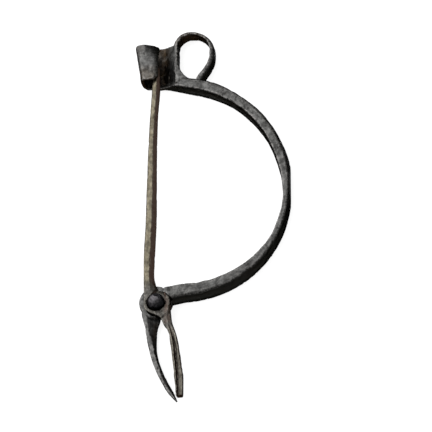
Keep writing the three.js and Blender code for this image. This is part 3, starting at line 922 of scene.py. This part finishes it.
@dataclass
class Pin:
    """The pin: shank, eye and grooved gouge, forged in one."""

    hinge: Hinge
    voxel: float = 0.13
    path: Rows = (
        (-1.9, 2, 3.62), (-2.42, 9, 3.75), (-2.25, 15.5, 3.98), (-1.8, 24, 4.3), (-1.6, 36, 4.68), (-1.4, 49, 4.8),
        (-1.05, 60, 4.8), (-0.6, 67, 4.77), (-0.5, 78.6, 4.7),
    )
    widths: Rows = (
        (0, 3.8), (0.06, 3.05), (0.17, 3.1), (0.32, 3), (0.45, 2.8), (0.6, 2.45), (0.75, 2.2), (0.88, 2.15),
        (0.95, 1.6), (1, 0.3),
    )
    depths: Rows = ((0, 2.04), (0.1, 2.04), (0.3, 1.85), (0.5, 1.65), (0.8, 1.5), (0.92, 1.4), (1, 0.4))
    root_flare: float = 0.8  # how far the shank spreads to the right where it meets the eye
    eye_outline: Rows = (
        (-3.6, 5.2), (-3.6, -0.4), (-3.4, -1.2), (-3.1, -1.75), (-2.3, -2.3), (1.5, -4.6), (3.4, -4.4),
    )
    gouge_path: Rows = (
        (2, -1.5), (3.1, -6), (4.35, -9.4), (5.2, -14), (5.83, -19), (6.42, -24.5), (6.5, -29.3),
    )
    gouge_widths: Rows = (
        (0, 3.4), (0.16, 2.4), (0.28, 1.95), (0.4, 2.05), (0.55, 2.15), (0.9, 2.2), (0.96, 1.85), (1, 1),
    )
    gouge_top: float = 4.6
    groove: float = 0.75

    def shank(self) -> Shell:
        """The straight pin: a ridge runs up its face, with a broad slope to the left and a steep one right."""
        path, ways = curve_through(self.path, 260)
        share = np.linspace(0, 1, 260)
        half = width_through(self.widths, share)[:, None] / 2
        rise = width_through(self.depths, share)[:, None] / 2
        # share of the half width to the right, and of the half depth, from the back round to the left
        section = np.array([
            (0.55, -1), (1, -0.5), (1, 0), (0.62, 0.62), (0.2, 1), (-0.4, 0.93), (-0.85, 0.7), (-1, 0.2),
            (-1, -0.5), (-0.6, -1),
        ])
        # the path's left is -X here, so right is the negative side
        root = (1 - smoothstep(share, 0, 0.09))[:, None] * self.root_flare
        right = section[:, 0] * half + root * (section[:, 0] > 0.6)
        ring = np.stack([-right, section[:, 1] * rise], axis=-1)[:, ::-1]
        return swept(path, ways, ring)

    def eye(self) -> Shell:
        """The front plate of the hinge: straight on the left, slanted below and round on the right."""
        hinge = self.hinge
        turn = np.radians(np.linspace(-25, 100, 20))
        arc = hinge.eye_radius * np.column_stack([np.cos(turn), np.sin(turn)]) + hinge.eye_centre
        corners = self.eye_outline + tuple(map(tuple, arc))
        return plate(rounded_outline(corners, 140), hinge.eye_bottom, hinge.eye_top, 0.25)

    def gouge(self) -> Shell:
        """The right prong, with a groove down its face."""
        path, ways = curve_through(self.gouge_path, 100)
        share = np.linspace(0, 1, 100)[:, None]
        side = width_through(self.gouge_widths, share[:, 0])[:, None] / 2
        groove = self.groove * smoothstep(share, 0.15, 0.4)
        middle = 0.2 - 0.7 * share
        ones = np.ones_like(share)
        across = np.concatenate(
            [-ones, -0.7 * ones, 0.7 * ones, ones, ones, 0.8 * ones, middle, middle - 0.25, -ones], 1
        ) * side
        low, top = self.hinge.eye_bottom * ones, self.gouge_top * ones
        up = np.concatenate(
            [low + 0.3, low, low, low + 0.3, top - 0.3, top - 0.1, top - groove, top, top - 0.3], 1
        )
        return swept(path, ways, np.stack([across, up], axis=-1))

    def build(self) -> bpy.types.Object:
        """Welds the parts, works the skin and puts it into the scene."""
        skin = Skin(welded([self.shank(), self.eye(), self.gouge()], self.voxel))
        skin.relax(2)
        rng = np.random.default_rng(5)
        skin.hammer(rng, 260, 1.7, 0.04, 0.06)
        skin.roughen(8, 0.9, 0.02)
        skin.pit(rng, 220, 0.2, 0.06)
        skin.swell(0.04 + 0.02 * self.streaks(skin.points))
        worked = Shell(skin.points, skin.faces)
        for knife in [*self.hinge.seats(), self.hinge.bore()]:
            worked = cut(worked, knife)
        skin = Skin(worked)
        layers = {
            Layer.EARTH_AND_SHADE: self.earth_and_shade(skin.points),
            Layer.WARM: self.warmth(skin.points),
            Layer.STREAK: self.streaks(skin.points),
        }
        return finished(skin, "pin", "pin", OLIVE, layers)

    def streaks(self, points: np.ndarray) -> np.ndarray:
        """Streaks up and down the pin."""
        x, y, z = points.T
        return streaks(np.column_stack([y, x, z]), 41)

    def earth_and_shade(self, points: np.ndarray) -> np.ndarray:
        """A reddish brown stain down the right side of the eye."""
        x, y, _ = points.T
        band = smoothstep(x, 1.6, 2.8) * smoothstep(y, -7, -5) * smoothstep(-y, -4, -1)
        return 0.6 * band * (0.7 + 0.3 * noise(points / 1.2, 4))

    def warmth(self, points: np.ndarray) -> np.ndarray:
        """Olive all along the shank, and a little on the gouge."""
        _, y, _ = points.T
        return smoothstep(y, 4, 9) + 0.3 * smoothstep(-y, 6, 10)


@dataclass
class Rivet:
    """The rivet: a hammered tail, a round shank and a domed head flattened by blows."""

    hinge: Hinge
    voxel: float = 0.1
    head_radius: float = 2.45
    head_height: float = 1.85
    head_centre: tuple[float, float] = (-0.1, 0.4)

    def build(self) -> bpy.types.Object:
        """Welds the parts, works the skin and puts it into the scene."""
        hinge = self.hinge
        base = hinge.eye_top + 0.05 - hinge.seat_depth
        top = hinge.eye_top + hinge.gap + self.head_height - 0.02
        turn = np.linspace(0, np.pi / 2, 24)[:-1]
        dome = [(self.head_radius - 0.25, base), (self.head_radius, base + 0.2)]
        dome += [
            (self.head_radius * math.cos(a) ** 0.6, base + 0.2 + (top - base - 0.2) * math.sin(a)) for a in turn[1:]
        ]
        parts = [
            turned(((hinge.tail_radius - 0.1, 0), (hinge.tail_radius, 0.12), (hinge.tail_radius - 0.1, 0.5)), (0, 0)),
            turned(((hinge.rivet_radius, 0.1), (hinge.rivet_radius, base + 0.6)), (0, 0)),
            turned(tuple(dome), self.head_centre),
        ]
        skin = Skin(welded(parts, self.voxel))
        skin.relax(2)
        rng = np.random.default_rng(2)
        skin.hammer(rng, 26, 1.5, 0.1, 0.12)
        skin.roughen(6, 0.5, 0.015)
        skin.pit(rng, 25, 0.14, 0.05)
        streak = streaks(skin.points, 51)
        return finished(skin, "rivet", "bow", GREY, {Layer.STREAK: streak})


# ---------------------------------------------------------------- the studio


@dataclass
class Studio:
    """A pale floor, soft light from the upper left and the camera."""

    target: tuple[float, float, float] = (16.52, 26.51, 3.0)
    distance: float = 1008
    elevation: float = 60.15
    azimuth: float = 19.7  # from -Y towards +X
    lens: float = 300

    def camera(self) -> None:
        """Looks down at the brooch with the pin's direction upright in the picture."""
        lift, turn = math.radians(self.elevation), math.radians(self.azimuth)
        back = Vector((math.sin(turn) * math.cos(lift), -math.cos(turn) * math.cos(lift), math.sin(lift)))
        right = Vector((0, 1, 0)).cross(back).normalized()
        up = back.cross(right)
        data = bpy.data.cameras.new("camera")
        data.lens = self.lens
        camera = bpy.data.objects.new("camera", data)
        frame = Matrix((right, up, back)).transposed().to_4x4()
        frame.translation = (Vector(self.target) + self.distance * back) * METRES
        camera.matrix_world = frame
        bpy.context.scene.collection.objects.link(camera)
        bpy.context.scene.camera = camera

    def softbox(self, name: str, way: tuple[float, float, float], size: float, watts: float) -> None:
        """A square area light, its middle 600 mm from the brooch's middle, facing it."""
        data = bpy.data.lights.new(name, "AREA")
        data.size = size
        data.energy = watts
        light = bpy.data.objects.new(name, data)
        outward = Vector(way).normalized()
        light.location = Vector(self.target) * METRES + 0.6 * outward
        light.rotation_euler = outward.to_track_quat("Z", "Y").to_euler()
        bpy.context.scene.collection.objects.link(light)

    def floor(self) -> None:
        """A wide pale floor just under the brooch."""
        reach = 3000.0
        corners = np.array([[-1, -1, 0], [1, -1, 0], [1, 1, 0], [-1, 1, 0]]) * reach - [0, 0, 0.02]
        floor = as_object(Shell(corners, [[0, 1, 2, 3]]), "floor", METRES)
        material = bpy.data.materials.new("pale_floor")
        material.use_nodes = True
        shader = material.node_tree.nodes["Principled BSDF"]
        shader.inputs["Base Color"].default_value = (0.25, 0.25, 0.25, 1)
        shader.inputs["Roughness"].default_value = 0.9
        shader.inputs["Emission Color"].default_value = (1, 1, 1, 1)
        shader.inputs["Emission Strength"].default_value = 0.85
        shader.inputs["Specular IOR Level"].default_value = 0.1
        floor.data.materials.append(material)

    def build(self) -> None:
        """Sets up everything around the brooch."""
        self.camera()
        self.softbox("key", (-0.62, 0.45, 0.72), 0.7, 5.0)
        self.floor()
        world = bpy.data.worlds.new("world")
        world.use_nodes = True
        background = world.node_tree.nodes["Background"]
        background.inputs["Color"].default_value = (1, 1, 1, 1)
        background.inputs["Strength"].default_value = 0.75
        bpy.context.scene.world = world
        bpy.context.scene.view_settings.view_transform = "Standard"
        LOG.info("studio ready")


def main() -> None:
    """Builds the studio, then the brooch from the back of the hinge to its front."""
    logging.basicConfig(level=logging.INFO, format="%(name)s %(message)s")
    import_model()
    Studio().build()
    hinge = Hinge()
    Bow(hinge).build()
    Pin(hinge).build()
    Rivet(hinge).build()


if __name__ == "__main__":
    main()
